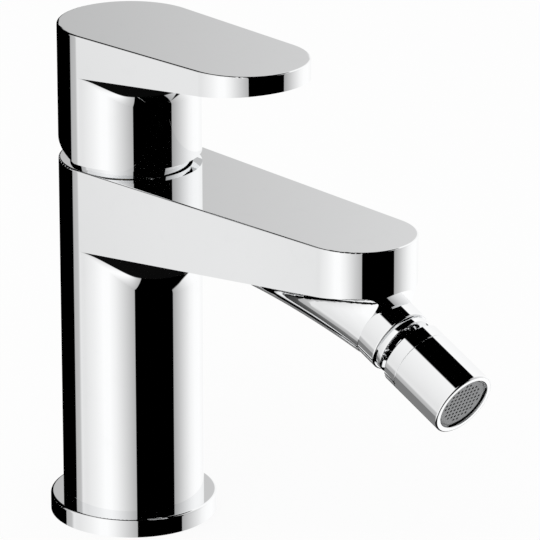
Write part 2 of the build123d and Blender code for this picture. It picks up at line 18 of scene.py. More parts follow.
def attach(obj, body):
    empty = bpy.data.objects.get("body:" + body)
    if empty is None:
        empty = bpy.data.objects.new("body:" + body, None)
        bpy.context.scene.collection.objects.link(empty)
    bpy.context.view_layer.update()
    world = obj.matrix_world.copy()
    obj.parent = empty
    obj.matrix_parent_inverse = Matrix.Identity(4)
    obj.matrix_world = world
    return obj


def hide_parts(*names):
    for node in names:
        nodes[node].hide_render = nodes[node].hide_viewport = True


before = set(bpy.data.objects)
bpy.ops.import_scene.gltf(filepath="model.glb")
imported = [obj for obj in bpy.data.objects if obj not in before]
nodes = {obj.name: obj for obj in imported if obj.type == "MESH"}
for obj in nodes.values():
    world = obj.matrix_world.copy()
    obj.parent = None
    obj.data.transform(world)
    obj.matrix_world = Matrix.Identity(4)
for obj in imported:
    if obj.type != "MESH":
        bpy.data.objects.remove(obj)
scene = bpy.context.scene
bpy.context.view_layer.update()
for plain_material in list(bpy.data.materials):
    bpy.data.materials.remove(plain_material)

# %% [markdown]
# ## Sizes
#
# Blender works in metres and the mixer was drawn in millimetres, so one factor turns the
# drawing's numbers into Blender's. Only the sizes that a finish, a blend, a ring or a
# thread follows are named here. The rest stays in the meshes of the frame.

# %% Name the sizes that the finishes and the added pieces follow
MM = 0.001
body_radius = 23 * MM
skirt_bore_radius = 19.5 * MM
bridge_height = 62 * MM
body_height = 121.2 * MM
inlet_thread_radius = 5 * MM
inlet_thread_depth = 12 * MM
inlet_spacing = 17 * MM
inlet_back = 4 * MM
stud_radius = 4 * MM
stud_depth = 14 * MM
stud_forward = 10 * MM
outlet_joint = Vector((0, -116.4, 94)) * MM
outlet_tilt = math.radians(25)
outlet_axis = Vector((0, -math.cos(outlet_tilt), -math.sin(outlet_tilt)))
screen_face = 36.6 * MM
print("column radius:", body_radius, "outlet points along", tuple(round(v, 3) for v in outlet_axis))

# %% [markdown]
# ## The camera
#
# The catalogue picture was taken with a long lens from the left front and a little above.
# A long lens flattens perspective, so the upright edges of the column stay almost parallel.
# The camera stands at a point and looks along a line that is given by its azimuth and
# elevation. Both were found by matching the outlines of the lever, the spout and the ring.

# %% Place the camera
camera_azimuth = math.radians(-43.258)
camera_elevation = math.radians(19.654)
camera_place = Vector((-943.28, -1067.60, 590.63)) * MM
focal_pixels = 4686.44
image_pixels = 540
sensor_width = 36
nearest_seen, farthest_seen = 0.1, 20

camera_data = bpy.data.cameras.new("catalogue_camera")
camera_data.sensor_width = sensor_width
camera_data.lens = focal_pixels / image_pixels * sensor_width
camera_data.clip_start, camera_data.clip_end = nearest_seen, farthest_seen
camera = bpy.data.objects.new("catalogue_camera", camera_data)
scene.collection.objects.link(camera)
backwards = Vector(
    (
        math.sin(camera_azimuth) * math.cos(camera_elevation),
        -math.cos(camera_azimuth) * math.cos(camera_elevation),
        math.sin(camera_elevation),
    )
)
camera.rotation_mode = "QUATERNION"
camera.rotation_quaternion = (-backwards).to_track_quat("-Z", "Y")
camera.location = camera_place
scene.camera = camera
print("lens:", round(camera_data.lens, 1), "mm")

# %% [markdown]
# ## Writing shaders as sums
#
# A material is a small graph of nodes. Drawn by hand it's slow to read, so one class wraps
# an output socket and lets ordinary arithmetic add the Math nodes. Every operator also
# works with a plain number in front, so that 1 - mask is written as it's meant.

# %% A socket that can be added, multiplied and compared
class Wire:
    """An output socket that takes part in arithmetic."""

    def __init__(self, graph, socket):
        self.graph, self.socket = graph, socket

    def math(self, operation, first, *others):
        """Adds a Math node. Its values may be wires or numbers."""
        values = dict(enumerate((first, *others)))
        return self.graph.node("ShaderNodeMath", {"operation": operation}, values)

    def __add__(self, other):
        return self.math("ADD", self, other)

    def __sub__(self, other):
        return self.math("SUBTRACT", self, other)

    def __mul__(self, other):
        return self.math("MULTIPLY", self, other)

    def __truediv__(self, other):
        return self.math("DIVIDE", self, other)

    def __rsub__(self, other):
        return self.math("SUBTRACT", other, self)

    def __rtruediv__(self, other):
        return self.math("DIVIDE", other, self)

    def __pow__(self, other):
        return self.math("POWER", self, other)

    def __rpow__(self, other):
        return self.math("POWER", other, self)

    __radd__ = __add__
    __rmul__ = __mul__

    def root(self):
        return self.math("SQRT", self)

    def turn(self, other):
        """The angle of the point (other, self) about the origin, in radians."""
        return self.math("ARCTAN2", self, other)

    def higher(self, other):
        return self.math("MAXIMUM", self, other)

    def ease(self, start, end):
        """0 before start and 1 after end, with a soft step between."""
        settings = {"interpolation_type": "SMOOTHSTEP"}
        inputs = {"Value": self, "From Min": start, "From Max": end}
        return self.graph.node("ShaderNodeMapRange", settings, inputs)


print("socket arithmetic ready")

# %% [markdown]
# A second class holds the graph itself, and its one method adds any other node: first the
# node's own settings, then the values or links of its sockets. A Mix node has several
# sockets with the same name, so its colour sockets are picked by their numbers.

# %% The graph that holds the nodes
first_colour, second_colour, mixed_colour = 6, 7, 2


class Graph:
    """A node tree with one method that adds a node."""

    def __init__(self, tree):
        self.tree = tree
        tree.nodes.clear()

    def node(self, kind, settings=None, inputs=None, out=0):
        """Adds a node and gives back one of its outputs, by name or number."""
        made = self.tree.nodes.new(kind)
        for name, value in (settings or {}).items():
            if name == "stops":
                self.set_stops(made.color_ramp, value)
            else:
                setattr(made, name, value)
        for name, value in (inputs or {}).items():
            if isinstance(value, Wire):
                self.tree.links.new(value.socket, made.inputs[name])
            else:
                made.inputs[name].default_value = value
        return Wire(self, made.outputs[out]) if made.outputs else None

    def set_stops(self, ramp, stops):
        """Gives a colour ramp its greys, each with its place from 0 to 1."""
        for _ in stops[2:]:
            ramp.elements.new(0.5)
        for element, (place, grey) in zip(ramp.elements, stops):
            element.position = place
            element.color = (grey, grey, grey, 1)

    def axes(self, vector):
        """The three parts of a vector, each as a wire."""
        inputs = {"Vector": vector}
        return [self.node("ShaderNodeSeparateXYZ", None, inputs, axis) for axis in range(3)]

    def blend(self, share, first, second):
        """A mix of two colours, by a share from 0 to 1."""
        inputs = {"Factor": share, first_colour: first, second_colour: second}
        return self.node("ShaderNodeMix", {"data_type": "RGBA"}, inputs, mixed_colour)


print("shader helpers ready")

# %% [markdown]
# ## What the chrome mirrors
#
# Chrome has almost no colour of its own: it shows the room. Its look in the catalogue
# picture comes from two tall white screens, one on each side of the mixer, a black gap
# in front and one behind, and a dark ceiling. Each screen is brightest in its middle and
# dimmer towards its edges, which gives the soft greys beside the hard black bands.
# Screens could be built as glowing planes. Here the world itself is painted by direction,
# because every part of a small object then sees them at the same angle. Only mirror rays
# see this picture. The camera sees white, and matt surfaces are lit by a plain soft sky.

# %% Paint the studio into the world
left_screen_stops = (
    (0.0, 0.44),
    (0.1, 0.6),
    (0.28, 0.89),
    (0.37, 0.99),
    (0.46, 0.99),
    (0.6, 0.88),
    (0.77, 0.775),
    (0.83, 0.775),
    (0.845, 0.8),
    (0.857, 0.785),
    (0.868, 0.75),
    (0.9, 0.51),
    (1.0, 0.44),
)
right_screen_stops = (
    (0.0, 0.38),
    (0.06, 0.48),
    (0.2, 0.71),
    (0.34, 0.905),
    (0.45, 0.98),
    (0.6, 0.99),
    (0.7, 0.95),
    (0.84, 0.9),
    (1.0, 1.0),
)
screen_strength = 1.08
left_screen_edges = (-52.9, 59.6)
right_screen_edges = (-61.0, 50.5)
edge_softness = 0.7

world = bpy.data.worlds.new("studio")
world.use_nodes = True
scene.world = world
sky = Graph(world.node_tree)
direction = sky.node("ShaderNodeTexCoord", None, None, "Generated")
east, north, rise = sky.axes(direction)


def screen(angle, edges, stops):
    """The light of a standing screen by the angle round the mixer, black outside its edges."""
    start, end = edges
    share = (angle - start) / (end - start)
    shade = sky.node("ShaderNodeValToRGB", {"stops": stops}, {"Fac": share})
    inside = angle.ease(start - edge_softness, start) * (1 - angle.ease(end, end + edge_softness))
    return shade * inside


degree = math.degrees(1)
left_angle = north.turn(east * -1) * degree
right_angle = north.turn(east) * degree
left_light = screen(left_angle, left_screen_edges, left_screen_stops)
right_light = screen(right_angle, right_screen_edges, right_screen_stops)
print("screens span", left_screen_edges, right_screen_edges)

# %% [markdown]
# The right-hand screen fades towards its far edge above eye level. The flat tops of the
# lever and of the spout mirror just that corner, so they are a calm light grey. Each
# screen has an upper and a lower edge as well. Above is the dark ceiling, and the right
# screen ends a little below it. The right screen's foot slopes with the compass, because
# it stands nearer on one side. Every edge is given as the two heights between which the
# light changes, where -1 is straight down and 1 straight up.

# %% Give the screens their tops, feet and fading corner
fade_start = 37
fade_per_degree = 0.04
fade_heights = (-0.2, 0.2)
ceiling_edge = (0.868, 0.9)
right_top_edge = (0.74, 0.77)
left_foot_edge = (-0.92, -0.88)
right_foot_slope = 0.84
right_foot_turn = 0.14
right_foot_edge = (-0.03, 0.03)

corner_fade = (right_angle - fade_start).higher(0) * fade_per_degree * rise.ease(*fade_heights)
right_foot = rise + (east - north * right_foot_turn) * right_foot_slope
left_standing = left_light * rise.ease(*left_foot_edge)
right_standing = right_light * (1 - corner_fade) * right_foot.ease(*right_foot_edge)
right_standing = right_standing * (1 - rise.ease(*right_top_edge))
standing = (left_standing + right_standing) * (1 - rise.ease(*ceiling_edge))
print("ceiling starts", round(math.degrees(math.asin(ceiling_edge[0]))), "degrees up")

# %% [markdown]
# Straight down, the mixer mirrors a dark table, with only a low band of grey where the
# table's far side catches some light. A small white card lies on the right, where the rim
# of the outlet can see it and shine. In every direction the brightest of the three wins.
# Mirror rays alone see this. The camera's own rays see white, and all others the soft sky.

# %% Add the table and the card, and choose which rays see them
table_bottom_edge = (-0.78, -0.66)
table_top_edge = (-0.55, -0.42)
table_side_edge = (-0.1, 0.1)
table_strength = 0.2
card_place = (0.665, -0.16, -0.73)
card_edge = (0.07, 0.09)
soft_sky = 0.8

table_light = rise.ease(*table_bottom_edge) * (1 - rise.ease(*table_top_edge))
table_light = table_light * north.ease(*table_side_edge) * table_strength
from_card = [axis - place for axis, place in zip((east, north, rise), card_place)]
card_distance = (from_card[0] ** 2 + from_card[1] ** 2 + from_card[2] ** 2).root()
card_light = 1 - card_distance.ease(*card_edge)
mirror_light = standing.higher(table_light).higher(card_light) * screen_strength

camera_ray = sky.node("ShaderNodeLightPath", None, None, "Is Camera Ray")
glossy_ray = sky.node("ShaderNodeLightPath", None, None, "Is Glossy Ray")
plain = camera_ray.higher(soft_sky)
choice = {"Factor": glossy_ray, "A": plain, "B": mirror_light}
seen = sky.node("ShaderNodeMix", {"data_type": "FLOAT"}, choice)
background = sky.node("ShaderNodeBackground", None, {"Color": (1, 1, 1, 1), "Strength": seen})
sky.node("ShaderNodeOutputWorld", None, {"Surface": background})
print("world nodes:", len(world.node_tree.nodes))

# %% [markdown]
# ## The floor and the key light
#
# The floor is a pale sheet that keeps the mixer's soft shadow. Most of what the camera
# sees of it is plain white, as in a cut-out picture, and a share is real matt paint that
# shows the shadow. Mirror rays pass it by, because the picture's chrome shows no floor.
# From below it lets the look through, so the hose sockets can be inspected.

# %% Lay the floor
floor_size = 4.0
floor_drop = 0.05 * MM
white_share = 0.9
paint_tone = (0.97, 0.97, 0.97, 1)

square = bmesh.new()
bmesh.ops.create_grid(square, x_segments=1, y_segments=1, size=floor_size / 2)
floor_data = bpy.data.meshes.new("floor")
square.to_mesh(floor_data)
square.free()
floor = bpy.data.objects.new("floor", floor_data)
scene.collection.objects.link(floor)
floor.visible_glossy = False
floor.location.z = -floor_drop

paint = bpy.data.materials.new("pale_floor")
paint.use_nodes = True
sheet = Graph(paint.node_tree)
from_camera = sheet.node("ShaderNodeLightPath", None, None, "Is Camera Ray")
underneath = sheet.node("ShaderNodeNewGeometry", None, None, "Backfacing")
matt = sheet.node("ShaderNodeBsdfDiffuse", None, {"Color": paint_tone})
white = sheet.node("ShaderNodeEmission", None, {"Color": (1, 1, 1, 1), "Strength": 1.0})
clear = sheet.node("ShaderNodeBsdfTransparent")
upper = sheet.node("ShaderNodeMixShader", None, {0: from_camera * white_share, 1: matt, 2: white})
whole = sheet.node("ShaderNodeMixShader", None, {0: underneath, 1: upper, 2: clear})
sheet.node("ShaderNodeOutputMaterial", None, {"Surface": whole})
floor_data.materials.append(paint)
print("floor:", floor_size, "m wide")

# %% [markdown]
# The plain sky lights matt parts from every side at once, which leaves them flat. One
# large soft lamp high on the left gives them a little direction. It hides from mirror
# rays, because the chrome already has its screens. The picture's view transform is set to
# Standard, so that the floor's white comes out as white.

# %% Hang the lamp
lamp_size = 1.2
lamp_power = 6.0
lamp_place = Vector((-1.1, -0.7, 1.6))
lamp_aim = Vector((0, 0, 0.08))

lamp_data = bpy.data.lights.new("soft_lamp", "AREA")
lamp_data.shape = "SQUARE"
lamp_data.size = lamp_size
lamp_data.energy = lamp_power
lamp = bpy.data.objects.new("soft_lamp", lamp_data)
scene.collection.objects.link(lamp)
lamp.location = lamp_place
lamp.rotation_mode = "QUATERNION"
lamp.rotation_quaternion = (lamp_place - lamp_aim).to_track_quat("Z", "Y")
lamp.visible_glossy = False
scene.view_settings.view_transform = "Standard"
print("lamp:", lamp_power, "W")

# %% [markdown]
# ## A starting point for every finish
#
# Each finish is a Principled shader. Values that are the same all over the surface are
# set on its sockets, and only what varies is linked. Patterns are laid out in Object
# coordinates, so they sit in the material like grain in wood and never slide. Nearly all
# of them are noise, whose size is given as its number of lumps in a metre.

# %% Open a finish and close it again
def open_finish(name):
    """A new material's graph, with the point on the piece in metres."""
    material = bpy.data.materials.new(name)
    material.use_nodes = True
    graph = Graph(material.node_tree)
    point = graph.node("ShaderNodeTexCoord", None, None, "Object")
    return material, graph, point


def close_finish(graph, height, bump_distance, sockets, dark=None):
    """Adds the Principled shader, with a bump from height in parts of bump_distance.

    Where the finish carries painted shade, dark holds the share of that shade and its colour.
    """
    bump = {"Strength": 1.0, "Distance": bump_distance, "Height": height}
    normal = graph.node("ShaderNodeBump", None, bump)
    surface = graph.node("ShaderNodeBsdfPrincipled", None, {**sockets, "Normal": normal})
    if dark:
        share, colour = dark
        # The painted shade is a dark matt paint mixed over the finish.
        painted_dark = graph.node("ShaderNodeBsdfDiffuse", None, {"Color": colour})
        surface = graph.node("ShaderNodeMixShader", None, {0: share, 1: surface, 2: painted_dark})
    graph.node("ShaderNodeOutputMaterial", None, {"Surface": surface})


def noise(graph, point, per_metre, detail=2.0, roughness=0.5):
    """Soft noise from 0 to 1, with about per_metre lumps in a metre."""
    inputs = {"Vector": point, "Scale": per_metre, "Detail": detail, "Roughness": roughness}
    return graph.node("ShaderNodeTexNoise", {"noise_dimensions": "3D"}, inputs, "Fac")


def stretched(graph, point, scale):
    """The point with its axes scaled, which draws noise out into streaks."""
    return graph.node("ShaderNodeMapping", None, {"Vector": point, "Scale": scale})


def opaque(tone, factor=1.0):
    """A tone as a colour with full alpha, made darker or paler by a factor."""
    return tuple(factor * part for part in tone) + (1,)


print("finish helpers ready")

# %% [markdown]
# ## Polished chrome
#
# The brass is ground, polished and buffed, then plated with nickel and a thin skin of
# chromium. What the eye sees is a mirror with a faintly blue-grey tone. Very fine buffing
# streaks, a trace of waviness left by the polishing wheel, and a breath of handling film
# keep it from looking like a computer's mirror. All three are kept far below what would
# bend the black bands: the waves are two thousandths of a millimetre deep, and the streaks
# a twentieth of that.

# %% The chrome finish
chrome_tone = (0.915, 0.92, 0.925)
polish_depth = 0.002 * MM
polish_roughness = 0.01
streak_height = 0.05
streak_roughness = 0.012
wheel_waves = 60.0
film_patches = 140.0
film_edge = (0.52, 0.75)
film_cover = 0.5
film_shade = 0.975
film_roughness = 0.02


def polish(graph, point, streak_scale):
    """The colour, the roughness and the height of chrome with fine buffing streaks.

    The streaks are dense along the axes that have a large streak_scale.
    """
    streaks = noise(graph, stretched(graph, point, streak_scale), 1.0, detail=3.0)
    waves = noise(graph, point, wheel_waves, detail=1.0)
    film = noise(graph, point, film_patches, detail=4.0, roughness=0.6).ease(*film_edge)
    clean, filmed = opaque(chrome_tone), opaque(chrome_tone, film_shade)
    colour = graph.blend(film * film_cover, clean, filmed)
    roughness = streaks * streak_roughness + film * film_roughness + polish_roughness
    return colour, roughness, streaks * streak_height + waves


def chrome(name, streak_scale):
    """Mirror chrome all over a piece."""
    material, graph, point = open_finish(name)
    colour, roughness, height = polish(graph, point, streak_scale)
    sockets = {"Base Color": colour, "Metallic": 1.0, "Roughness": roughness}
    close_finish(graph, height, polish_depth, sockets)
    return material


streak_scales = {
    "chrome_lever": (300, 300, 4000),
    "chrome_ring": (150, 150, 9000),
    "chrome_dome": (150, 150, 9000),
    "chrome_collar": (2500, 900, 900),
    "chrome_swivel": (2500, 900, 900),
}
finishes = {name: chrome(name, scale) for name, scale in streak_scales.items()}
print("chrome finishes:", sorted(finishes))

# %% [markdown]
# ## The casting, plated outside and raw inside
#
# The column is a brass casting. Polishing and plating reach its outer skin, while the
# inside of the hollow skirt keeps the grain of the sand it was cast against, with only a
# dull flash of plating. The two looks could be two materials, but the casting is one
# mesh. So one material changes by the distance from the column's axis and by height.

# %% The body's finish
brass_tone = (0.72, 0.53, 0.27)
sand_grain = 1500.0
sand_depth = 0.1 * MM
sand_roughness = 0.25
raw_roughness = 0.3
flash_tone = (0.42, 0.42, 0.41)
flash_patches = 90.0
flash_edge = (0.4, 0.65)
flash_cover = 0.7
raw_radius = skirt_bore_radius + 0.3 * MM
raw_top = bridge_height + 16 * MM
radius_fade = 0.4 * MM
height_fade = 1 * MM


def plated_casting(name, streak_scale):
    """Chrome outside raw_radius from the column's axis or above raw_top, cast metal within."""
    material, graph, point = open_finish(name)
    x, y, z = graph.axes(point)
    within = 1 - (x * x + y * y).root().ease(raw_radius, raw_radius + radius_fade)
    inside = within * (1 - z.ease(raw_top, raw_top + height_fade))
    colour, roughness, height = polish(graph, point, streak_scale)
    sand = noise(graph, point, sand_grain, detail=3.0, roughness=0.65)
    flash = noise(graph, point, flash_patches, detail=3.0, roughness=0.55).ease(*flash_edge)
    cast = graph.blend(flash * flash_cover, opaque(brass_tone), opaque(flash_tone))
    cast_roughness = sand * sand_roughness + raw_roughness
    sockets = {
        "Base Color": graph.blend(inside, colour, cast),
        "Metallic": 1.0,
        "Roughness": roughness * (1 - inside) + cast_roughness * inside,
    }
    polished_share = polish_depth / sand_depth
    grain = height * (1 - inside) * polished_share + sand * inside
    close_finish(graph, grain, sand_depth, sockets)
    return material


finishes["chrome_body"] = plated_casting("chrome_body", (300, 300, 4000))
print("raw inside", round(raw_radius, 4), "m, below", round(raw_top, 4), "m")

# %% [markdown]
# ## Turned metal
#
# The clamping nut, the stem and the screws are turned on a lathe and left bare. The tool
# leaves fine rings round the axis it cut about. Noise stretched along two axes and dense
# along the third gives those rings, and a slight change of tone stands for handling.

# %% Brass and steel
ring_depth = 0.01 * MM
stain_patches = 220.0
stain_edge = (0.4, 0.8)
stain_shade = 0.8
stain_roughness = 0.12


def turned_metal(name, tone, ring_scale, roughness):
    """Bare turned metal whose tool marks are dense along one axis."""
    material, graph, point = open_finish(name)
    rings = noise(graph, stretched(graph, point, ring_scale), 1.0, detail=2.0)
    stain = noise(graph, point, stain_patches, detail=3.0, roughness=0.6)
    clean, stained = opaque(tone), opaque(tone, stain_shade)
    sockets = {
        "Base Color": graph.blend(stain.ease(*stain_edge), clean, stained),
        "Metallic": 1.0,
        "Roughness": stain * stain_roughness + roughness,
    }
    close_finish(graph, rings, ring_depth, sockets)
    return material


# Each metal's tone, the scales of its tool marks and its roughness.
metal_looks = {
    "brass_nut": ((0.8, 0.62, 0.34), (120, 120, 5000), 0.22),
    "steel": ((0.62, 0.63, 0.65), (120, 5000, 120), 0.24),
}
finishes.update({name: turned_metal(name, *look) for name, look in metal_looks.items()})
cut_brass = turned_metal("cut_brass", brass_tone, (400, 400, 2500), 0.28)
print("bare metals:", sorted(metal_looks), "and in the threads", cut_brass.name)

# %% [markdown]
# ## Moulded plastic
#
# The cartridge, the bearing and the aerator's insides are injection moulded. The mould's
# fine spark-eroded texture shows as a small even grain, and the melt leaves faint cloudy
# flow marks in the colour. The rest is an ordinary plastic with a soft sheen.

# %% Plastics
spark_grain = 5000.0
grain_roughness = 0.1
flow_scale = (160, 160, 60)
flow_gain, flow_lift = 1.06, 0.01
flow_roughness = 0.06


def moulded_plastic(name, tone, grain_depth, roughness):
    """Moulded plastic with a fine grain and cloudy flow marks."""
    material, graph, point = open_finish(name)
    grain = noise(graph, point, spark_grain, detail=2.0, roughness=0.6)
    flow = noise(graph, stretched(graph, point, flow_scale), 1.0, detail=2.0)
    paler = opaque(min(1.0, flow_gain * part + flow_lift) for part in tone)
    sockets = {
        "Base Color": graph.blend(flow, opaque(tone), paler),
        "Roughness": grain * grain_roughness + flow * flow_roughness + roughness,
    }
    close_finish(graph, grain, grain_depth, sockets)
    return material


# Each plastic's tone, the depth of its grain and its roughness.
plastic_looks = {
    "plug_plastic": ((0.62, 0.63, 0.65), 0.004 * MM, 0.18),
    "cartridge_plastic": ((0.88, 0.88, 0.86), 0.01 * MM, 0.42),
    "carrier_plastic": ((0.8, 0.8, 0.78), 0.01 * MM, 0.42),
    "limit_plastic": ((0.75, 0.12, 0.1), 0.01 * MM, 0.4),
    "bearing_plastic": ((0.86, 0.86, 0.84), 0.006 * MM, 0.3),
    "aerator_plastic": ((0.7, 0.71, 0.72), 0.01 * MM, 0.4),
}
finishes.update({name: moulded_plastic(name, *look) for name, look in plastic_looks.items()})
print("plastics:", sorted(plastic_looks))

# %% [markdown]
# The outlet's screen is a moulded plate with a square grid of holes. Hardly any light gets
# into holes that are less than a millimetre wide, so each looks like a black dot. Black
# discs could cover them, but the drawing has the real holes. So the plastic goes dark
# behind the plate's face, measured along the outlet's own axis.

# %% The screen's finish
plate_tone = (0.3, 0.305, 0.31)
plate_glint = 1.15
plate_roughness = 0.32
plate_grain_depth = 0.008 * MM
hole_colour = (0.006, 0.006, 0.006, 1)
hole_fade = (0.03 * MM, 0.2 * MM)


def screen_plate(name):
    """Moulded plastic that gives way to black inside the holes, behind the plate's face."""
    material, graph, point = open_finish(name)
    _, y, z = graph.axes(point)
    along = (y - outlet_joint.y) * outlet_axis.y + (z - outlet_joint.z) * outlet_axis.z
    behind = (screen_face - along).ease(*hole_fade)
    grain = noise(graph, point, spark_grain, detail=2.0, roughness=0.6)
    sockets = {
        "Base Color": graph.blend(grain, opaque(plate_tone), opaque(plate_tone, plate_glint)),
        "Roughness": grain * grain_roughness + plate_roughness,
    }
    close_finish(graph, grain, plate_grain_depth, sockets, (behind, hole_colour))
    return material


finishes["screen_plastic"] = screen_plate("screen_plastic")
print("the holes are black from", hole_fade[1], "m behind the face")

# %% [markdown]
# ## Ceramic and rubber
#
# The two discs are lapped flat until they seal against each other, so they are smooth,
# with hair-fine marks that run round and a trace of grain from the pressed powder. The
# marks are a sine of the distance from the axis, because noise would never run true.

# %% Ceramic discs
ceramic_tone = (0.93, 0.92, 0.89)
powder_tone = (0.87, 0.86, 0.83)
powder_grain = 2600.0
powder_edge = (0.45, 0.8)
lapped_roughness = 0.12
lap_marks = 9000.0
lap_height = 0.2
lap_depth = 0.002 * MM


def lapped_ceramic(name):
    """Ceramic with hair-fine rings and a trace of powder grain."""
    material, graph, point = open_finish(name)
    x, y, _ = graph.axes(point)
    laps = x.math("SINE", (x * x + y * y).root() * lap_marks) * 0.5 + 0.5
    powder = noise(graph, point, powder_grain, detail=3.0, roughness=0.6)
    smooth, grainy = opaque(ceramic_tone), opaque(powder_tone)
    sockets = {
        "Base Color": graph.blend(powder.ease(*powder_edge), smooth, grainy),
        "Roughness": powder * grain_roughness + lapped_roughness,
    }
    close_finish(graph, laps * lap_height + powder, lap_depth, sockets)
    return material


finishes["ceramic"] = lapped_ceramic("ceramic")
print("lap marks:", round(lap_marks / math.tau), "in a metre")

# %% [markdown]
# Seals are moulded rubber: nearly black, matt, with a bloom of mould powder. The bloom is
# a paler tone in soft patches, because an even grey would look like paint.

# %% Rubber seals
rubber_grain = 3200.0
rubber_grain_depth = 0.012 * MM
rubber_roughness = 0.6
bloom_tone = (0.13, 0.13, 0.135)
bloom_patches = 260.0
bloom_edge = (0.45, 0.8)
bloom_cover = 0.35
bloom_roughness = 0.15


def moulded_rubber(name, tone):
    """Matt black rubber with patches of paler bloom."""
    material, graph, point = open_finish(name)
    grain = noise(graph, point, rubber_grain, detail=3.0, roughness=0.6)
    bloom = noise(graph, point, bloom_patches, detail=4.0, roughness=0.6).ease(*bloom_edge)
    roughness = bloom * bloom_roughness + grain * grain_roughness + rubber_roughness
    sockets = {
        "Base Color": graph.blend(bloom * bloom_cover, opaque(tone), opaque(bloom_tone)),
        "Roughness": roughness,
    }
    close_finish(graph, grain, rubber_grain_depth, sockets)
    return material


finishes["seal_rubber"] = moulded_rubber("seal_rubber", (0.05, 0.05, 0.055))
finishes["gasket_rubber"] = moulded_rubber("gasket_rubber", (0.06, 0.06, 0.065))
print("finishes:", len(finishes))

# %% [markdown] ## Dressing the solids  The record already says which finish each solid
# takes, by slot.

# %% Give every solid its finish
slot_nodes = {
    "chrome_body": ["mixer_body"],
    "chrome_ring": ["base_ring"],
    "chrome_dome": ["dome_cap"],
    "chrome_lever": ["lever"],
    "chrome_collar": ["outlet_nipple"],
    "chrome_swivel": ["swivel_ring", "aerator_sleeve"],
    "screen_plastic": ["aerator_screen"],
    "brass_nut": ["cartridge_nut", "cartridge_stem"],
    "steel": ["set_screw", "pivot_pin"],
    "plug_plastic": ["index_plug"],
    "cartridge_plastic": ["cartridge_base", "cartridge_housing", "disc_coupler"],
    "carrier_plastic": ["stem_carrier", "lever_insert"],
    "limit_plastic": ["limit_ring"],
    "bearing_plastic": ["ball_liner", "ball_seat"],
    "aerator_plastic": ["aerator_body", "flow_filter", "flow_regulator"],
    "ceramic": ["fixed_disc", "moving_disc"],
    "seal_rubber": [
        "ring_seal",
        "inlet_seals",
        "disc_seals",
        "housing_seal",
        "ball_seal",
        "aerator_gasket",
    ],
    "gasket_rubber": ["base_gasket", "nipple_washer"],
}
for slot, names in slot_nodes.items():
    for name in names:
        solid = nodes[name]
        solid.data.materials.clear()
        solid.data.materials.append(finishes[slot])
undressed = sorted(set(nodes) - {name for names in slot_nodes.values() for name in names})
print("dressed:", len(nodes) - len(undressed), "left over:", undressed)

# %% [markdown]
# ## Skins that shine evenly
#
# A mirror shows every facet of its mesh. The frame's solids come as loose triangles, and
# on a round wall their light would jump from one facet to the next. Each plated solid
# therefore gets a skin: a copy of its mesh whose doubled points are merged, so that
# neighbours share a normal, with the edges over 28 degrees kept sharp. A Weighted Normal
# modifier then lets the large flat faces keep their true direction next to a round one.

# %% Make a skin of every plated solid
sharp_angle = math.radians(28)
doubled_distance = 0.0005 * MM


def finished_piece(name, shape, finish, body):
    """Makes an object of a bmesh, with its finish, on the body that carries it."""
    data = bpy.data.meshes.new(name)
    shape.to_mesh(data)
    shape.free()
    data.materials.append(finish)
    piece = bpy.data.objects.new(name, data)
    scene.collection.objects.link(piece)
    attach(piece, body)
    print(name, "faces:", len(data.polygons))
    return piece


def soften(shape, angle):
    """Shades a bmesh smooth, with its edges over the angle left sharp."""
    for edge in shape.edges:
        edge.smooth = len(edge.link_faces) == 2 and edge.calc_face_angle() < angle
    for face in shape.faces:
        face.smooth = True


def even_normals(piece):
    """Lets large faces decide the normals that they share with small ones."""
    weighted = piece.modifiers.new("even_normals", "WEIGHTED_NORMAL")
    weighted.mode = "FACE_AREA_WITH_ANGLE"
    weighted.keep_sharp = True


def plated_skin(node, body, slot):
    """A merged copy of a solid that shines evenly and stands for it."""
    skin = bmesh.new()
    skin.from_mesh(nodes[node].data)
    bmesh.ops.remove_doubles(skin, verts=skin.verts, dist=doubled_distance)
    bmesh.ops.recalc_face_normals(skin, faces=skin.faces)
    soften(skin, sharp_angle)
    piece = finished_piece(node + "_skin", skin, finishes[slot], body)
    even_normals(piece)
    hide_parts(node)
    return piece


plated = {
    "mixer_body": ("mixer", "chrome_body"),
    "base_ring": ("mixer", "chrome_ring"),
    "dome_cap": ("mixer", "chrome_dome"),
    "lever": ("lever", "chrome_lever"),
    "outlet_nipple": ("mixer", "chrome_collar"),
    "swivel_ring": ("outlet", "chrome_swivel"),
    "aerator_sleeve": ("outlet", "chrome_swivel"),
}
skins = {node: plated_skin(node, *place) for node, place in plated.items()}
print("skins:", len(skins))

# %% [markdown]
# The swivelling outlet is two turned lengths that meet in a fine dark line. On the real
# piece both edges are broken with a touch of the tool. A Bevel modifier does the same,
# and it comes before the modifier that evens the normals, so that both sides shine right.

# %% Break the edges of the swivelling outlet
parting_round = 0.13 * MM
cornered_angle = math.radians(50)
for node in ("swivel_ring", "aerator_sleeve"):
    modifiers = skins[node].modifiers
    rounded = modifiers.new("parting_round", "BEVEL")
    rounded.width = parting_round
    rounded.segments = 2
    rounded.limit_method = "ANGLE"
    rounded.angle_limit = cornered_angle
    modifiers.move(len(modifiers) - 1, 0)
print("rounded edges:", parting_round, "m")

# %% [markdown]
# ## Painted shade in the corners under the arms
#
# In the corners under the two arms, the chrome carries a painted shade: a near-black matt
# paint that stands for the shade there and looks black against the mirror beside it. The
# finish turns from mirror to painted shade by the lean of the surface, which follows a
# corner of its own accord. A shade painted by position would have to be fitted to each arm.

# %% The finish that paints shade into the corners under the arms
shade_start_lean = math.radians(19.5)
shade_full_lean = math.radians(21.5)
hollow_grain = 900.0
hollow_grain_roughness = 0.01
hollow_roughness = 0.015
# The near-black colour of the painted shade.
painted_shade_colour = (0.0045, 0.0045, 0.0045, 1)


